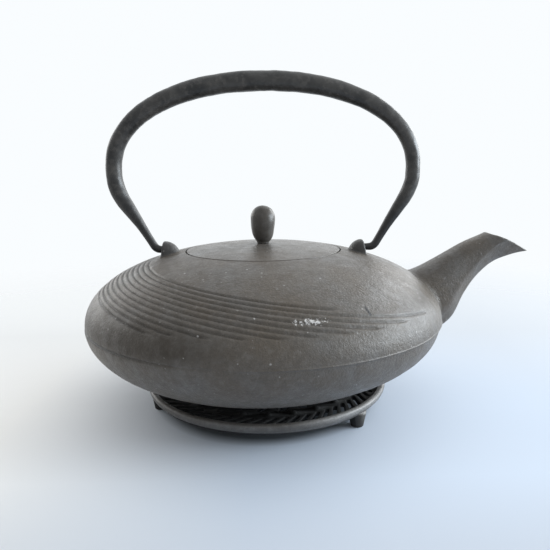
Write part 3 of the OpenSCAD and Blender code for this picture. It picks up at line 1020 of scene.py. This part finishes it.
def bail():
    """The forged bar, thickest at the grip, drawn down at its legs and turned in to the pins."""
    half = half_bail()
    line = np.vstack([half[::-1] * [-1, 1, 1], half[1:]])
    run = unit(np.gradient(line[:, :2], axis=0))
    out = np.stack([-run[:, 1], run[:, 0]], -1)
    around = circle_angles(40)
    seam = np.exp(-((around - pi) / 0.11) ** 2)
    rings = []
    for (x, z, radius), (out_x, out_z) in zip(line, out):
        grip = np.clip((z - 92) / 14, 0, 1)
        thick = radius * (1 - 0.06 * grip * np.clip(x / BAIL_HALF_W, -1, 1))
        flat = 1 - 0.05 * grip
        reach = thick - SEAM_DEPTH * grip * seam
        rings.append(np.stack([x + out_x * reach * np.cos(around), reach * flat * np.sin(around),
                               z + out_z * reach * np.cos(around)], -1))
    rings = np.array(rings)
    centre = rings.mean(1, keepdims=True)
    rough = np.clip((rings[..., 2:] - 84) / 10, 0, 1)
    marks = 0.018 * lumps(rings, 13, 7) + 0.01 * lumps(rings, 5, 8)
    rings = centre + (rings - centre) * (1 + rough * marks[..., None]) + [BAIL_SHIFT, 0, 0]
    return capped_tube("bail_bar", rings, [rings[0].mean(0), rings[-1].mean(0)])


# ---------- trivet

RIM_R = (rim_high[0] - rim_low[0]) / 2
RIM_W = 3.2
RIM_TOP_Z = rim_high[2] + 0.5
RIM_LOW_Z = 7.9
GRID_TOP_Z = 9.2
GRID_T = 2.2
# Number of slots in a row, inner and outer radius, width, and lean away from the radius in degrees
SLOT_ROWS = [(60, 49.5, 57.0, 2.0, -46), (24, 28.0, 42.0, 3.6, -35), (12, 14.0, 24.0, 3.2, -20)]
HUB_R = 9.0
STUDS = 24
STUD_RING_R = 46.0
STUD_R = 1.7
FEET = [(-43, 58.2), (78, 58.2), (195, 57.4)]  # direction in degrees and distance from the middle
FOOT_RADII = (3.0, 4.4)  # at the floor and where it meets the trivet
TRIVET_SHIFT = (1.15, 1.0)  # how far the trivet stands off the pot's axis


def slot_outline(angle, inner_r, outer_r, width, lean):
    """A slot with round ends that leans away from the radius."""
    middle = np.array([cos(angle), sin(angle)]) * (inner_r + outer_r) / 2
    turn = angle + radians(lean)
    ahead = np.array([cos(turn), sin(turn)])
    aside = np.array([-ahead[1], ahead[0]])
    half = (outer_r - inner_r) / cos(radians(lean)) / 2 - width / 2
    loop = []
    loop = []
    for end in (1, -1):
        for a in np.linspace(-pi / 2, pi / 2, 7):
            off_middle = ahead * (half + width / 2 * cos(a)) + aside * width / 2 * sin(a)
            loop.append(middle + end * off_middle)
    return [tuple(p) for p in loop]


def trivet():
    """The trivet's rim, grid, studs and feet, which are one casting."""
    inner = RIM_R - RIM_W
    shelf = GRID_TOP_Z - GRID_T
    rim = ring_section("trivet_casting", [
        (inner, RIM_TOP_Z - 0.7, 0.5), (inner, GRID_TOP_Z - 0.7, 0), (inner - 1.5, GRID_TOP_Z - 0.7, 0),
        (inner - 1.5, shelf + 0.7, 0), (inner - 3, shelf, 0), (inner - 3, shelf - 1, 0.5),
        (inner, shelf - 1, 0.4), (RIM_R - 1.7, RIM_LOW_Z - 0.4, 0.9), (RIM_R - 0.4, RIM_LOW_Z + 1.2, 1.4),
        (RIM_R, RIM_TOP_Z - 0.9, 1.6), (RIM_R - 1.4, RIM_TOP_Z, 1.4)], 240)
    holes = [circle(HUB_R, 40)]
    for count, inner_r, outer_r, width, lean in SLOT_ROWS:
        holes += [slot_outline(2 * pi * i / count, inner_r, outer_r, width, lean) for i in range(count)]
    grid = plate("grid_tool", inner + 0.8, holes, shelf, GRID_TOP_Z, 0.25, 240)
    combine(rim, grid)
    stud = [(0, GRID_TOP_Z - 1.2)]
    stud += [(STUD_R * 1.25 * cos(b), GRID_TOP_Z - 0.6 + STUD_R * sin(b))
             for b in np.linspace(0, pi / 2, 7)]
    for x, y in circle(STUD_RING_R, STUDS):
        combine(rim, moved(revolve("tool", stud, 16), x, y))
    low_r, high_r = FOOT_RADII
    foot = rounded([(0, 0, 0), (low_r, 0, 0.7), (high_r, shelf + 0.5, 0), (0, shelf + 0.5, 0)])
    for degrees, out in FEET:
        a = radians(degrees)
        combine(rim, moved(revolve("tool", foot, 40), out * cos(a), out * sin(a)))
    return moved(rim, *TRIVET_SHIFT)


# ---------- the object

def on_pot(x, y, z):
    """A place in metres, from millimetres about the pot's axis."""
    return (POT_X + x) * MM, y * MM, z * MM


# A middle and a reach along each axis, in metres, except that the nick is a short row of middles
SCUFF = (on_pot(17.8, -80.6, 63.2), (0.0066, 0.007, 0.0011))
# A darker brown patch below the grooves on the front left of the belly
DARK_PATCH = (on_pot(-52, -70, 54), (0.044, 0.036, 0.0095))
# Painted highlight on the trivet rim's right front
RIM_PAINTED_HIGHLIGHT = (on_pot(42, -46, 12), (0.036, 0.036, 0.0036))
NICK = [on_pot(41.3 + 0.28 * i, -68.5 - 0.42 * i, 65.5 - 0.42 * i) for i in range(6)]
# Painted shade inside the trivet's rim: its middle, its radius and the height where it ends, in metres
PAINTED_SHADE_IN_RIM = ((POT_X * MM, 0.0), (RIM_R - RIM_W + 0.3) * MM, (RIM_TOP_Z - 0.9) * MM)

pot_iron = cast_iron("pot_iron", 0.09, 0.13, 0.43, specks=0.15, dirt_and_shade=True, scuff=SCUFF, nick=NICK,
                     dark_patch=DARK_PATCH)
lid_iron = cast_iron("lid_iron", 0.092, 0.12, 0.34, grain=0.6, specks=0.08)
knob_iron = cast_iron("knob_iron", 0.06, 0.1, 0.33, grain=0.12)
bail_iron = forged_iron("bail_iron", 0.031, 0.36)
trivet_iron = cast_iron("trivet_iron", 0.112, 0.05, 0.42, grain=0.5, painted_highlight=RIM_PAINTED_HIGHLIGHT, inside=PAINTED_SHADE_IN_RIM)
plain_steel = steel("plain_steel", 0.5, 0.28)
mesh_steel = steel("mesh_steel", 0.7, 0.34)

finish_piece(pot_casting(), pot_iron, "pot", "pot_iron",
             "pot_crown", "pot_belly", "spout", "lug_spout_side", "lug_back_side")
finish_piece(lid(), lid_iron, "lid", "lid_iron", "lid")
finish_piece(knob(), knob_iron, "lid", "knob_iron", "lid_knob")
finish_piece(washer(), plain_steel, "lid", "steel", "knob_washer")
finish_piece(infuser_flange(), plain_steel, "infuser", "steel", "infuser_flange")
finish_piece(infuser_wall(), mesh_steel, "infuser", "steel_mesh", "infuser_wall")
finish_piece(infuser_base(), mesh_steel, "infuser", "steel_mesh", "infuser_base")
finish_piece(bail(), bail_iron, "bail", "bail_iron", "bail")
finish_piece(trivet(), trivet_iron, "trivet", "trivet_iron", "trivet_rim", "trivet_grid", "trivet_feet")


# ---------- floor, light and camera

FLOOR_R = 3.0
FLOOR_MIDDLE = (-0.02, -0.12, 0.0)
FLOOR_FADE = (0.18, 0.62)  # distances between which the floor melts into the white
# Painted light and shade on the floor. Axis, where on it each starts and is full, its full share, and its
# colour
FLOOR_LIGHT_AND_SHADE = [
    (0, -0.03, -0.15, 1.0, (0.88, 0.87, 0.85, 1)),
    (0, 0.02, 0.14, 1.0, (0.49, 0.55, 0.64, 1)),
    (1, -0.02, 0.12, 0.5, (0.40, 0.41, 0.42, 1)),
    (1, -0.085, -0.165, 0.85, (0.40, 0.42, 0.455, 1)),
]
PAINTED_TRIVET_SHADOW = (0.058, 0.05)  # distances between which a painted shadow darkens the floor under the trivet
BRIGHT_SIDE = (0.5, 0.8, 0.35)
WORLD_LEVELS = (0.44, 1.25)  # brightness away from the bright side and towards it
LIT_PLACE = (0, 0, 0.05)
# Name, place, size, power and colour of each soft light
LIGHTS = [
    ("window", (1.1, -0.05, 0.33), (0.8, 0.5), 15.0, (0.84, 0.93, 1.0)),
    ("back_window", (0.95, 0.75, 0.55), (1.0, 0.7), 8.0, (0.95, 0.98, 1.0)),
    ("far_wall", (-0.9, 0.75, 0.4), (0.9, 0.6), 3.0, (1.0, 0.99, 0.96)),
]


def floor():
    """A pale round floor with painted light and shade and a painted shadow under the trivet; its edge melts
    into the white surroundings.
    """
    mesh = bpy.data.meshes.new("floor")
    sides = 96
    mesh.from_pydata([(x, y, 0) for x, y in circle(FLOOR_R, sides)], [], [tuple(range(sides))])
    made = add_object("floor", mesh)
    s = Shader("paper")
    colour = s.mix(s.noise(400, 2, 0.5), (0.58, 0.66, 0.78, 1), (0.62, 0.69, 0.79, 1))
    axes = s.axes()
    # Painted light and shade: lighter to the left, darker and bluer to the right, darker behind and in front
    for axis, start, full, share, shade in FLOOR_LIGHT_AND_SHADE:
        colour = s.mix(s.span(axes[axis], start, full, 0.0, share), colour, shade)
    # Painted shadow under the trivet
    under = s.distance((POT_X * MM, 0, 0))
    colour = s.mix(s.span(under, *PAINTED_TRIVET_SHADOW, 0.0, 0.8), colour, (0.05, 0.055, 0.06, 1))
    s.set(colour=colour, roughness=0.8)
    away = s.distance(FLOOR_MIDDLE)
    clear = s.node("BsdfTransparent").outputs[0]
    blend = s.node("MixShader", {0: s.span(away, *FLOOR_FADE), 1: s.surface.outputs[0], 2: clear})
    s.put(s.tree.nodes["Material Output"].inputs["Surface"], blend.outputs[0])
    mesh.materials.append(s.material)


def surroundings():
    """White surroundings that light the object most from behind, on the spout's side."""
    world = bpy.data.worlds.new("surroundings")
    scene.world = world
    w = Nodes(world)
    place = w.node("TexCoord").outputs["Generated"]
    towards = w.vector("DOT_PRODUCT", place, Vector(BRIGHT_SIDE).normalized())["Value"]
    level = w.span(towards, -1.0, 1.0, *WORLD_LEVELS)
    in_view = w.node("LightPath").outputs["Is Camera Ray"]
    shown = w.node("Mix", {0: in_view, 2: level, 3: 1.0}).outputs[0]
    background = w.tree.nodes["Background"]
    w.put(background.inputs["Color"], (0.95, 0.98, 1.0, 1.0))
    w.put(background.inputs["Strength"], shown)


def soft_light(name, place, size, power, colour):
    """A rectangular light that faces the object."""
    data = bpy.data.lights.new(name, "AREA")
    data.shape = "RECTANGLE"
    data.size, data.size_y = size
    data.energy = power
    data.color = colour
    made = add_object(name, data)
    made.location = place
    made.rotation_euler = (Vector(LIT_PLACE) - Vector(place)).to_track_quat("-Z", "Y").to_euler()


def camera():
    """A viewpoint 29 cm in front of the pot and 12 cm up, which looks slightly down."""
    distance, height = 0.2891, 0.1208
    pitch, yaw, roll = 0.1844, 0.0206, -0.0115
    focal_share = 56 / 55  # focal length as a share of the sensor's width
    ahead = Vector((sin(yaw) * cos(pitch), cos(yaw) * cos(pitch), -sin(pitch)))
    right = Vector((cos(yaw), -sin(yaw), 0))
    up = right.cross(ahead)
    side = right * cos(roll) + up * sin(roll)
    top = up * cos(roll) - right * sin(roll)
    data = bpy.data.cameras.new("camera")
    data.lens = focal_share * data.sensor_width
    data.clip_start = 0.01
    made = add_object("camera", data)
    place = Matrix((side, top, -ahead)).transposed().to_4x4()
    place.translation = (POT_X * MM, -distance, height)
    made.matrix_world = place
    scene.camera = made


floor()
surroundings()
for light in LIGHTS:
    soft_light(*light)
camera()
scene.view_settings.view_transform = "Standard"
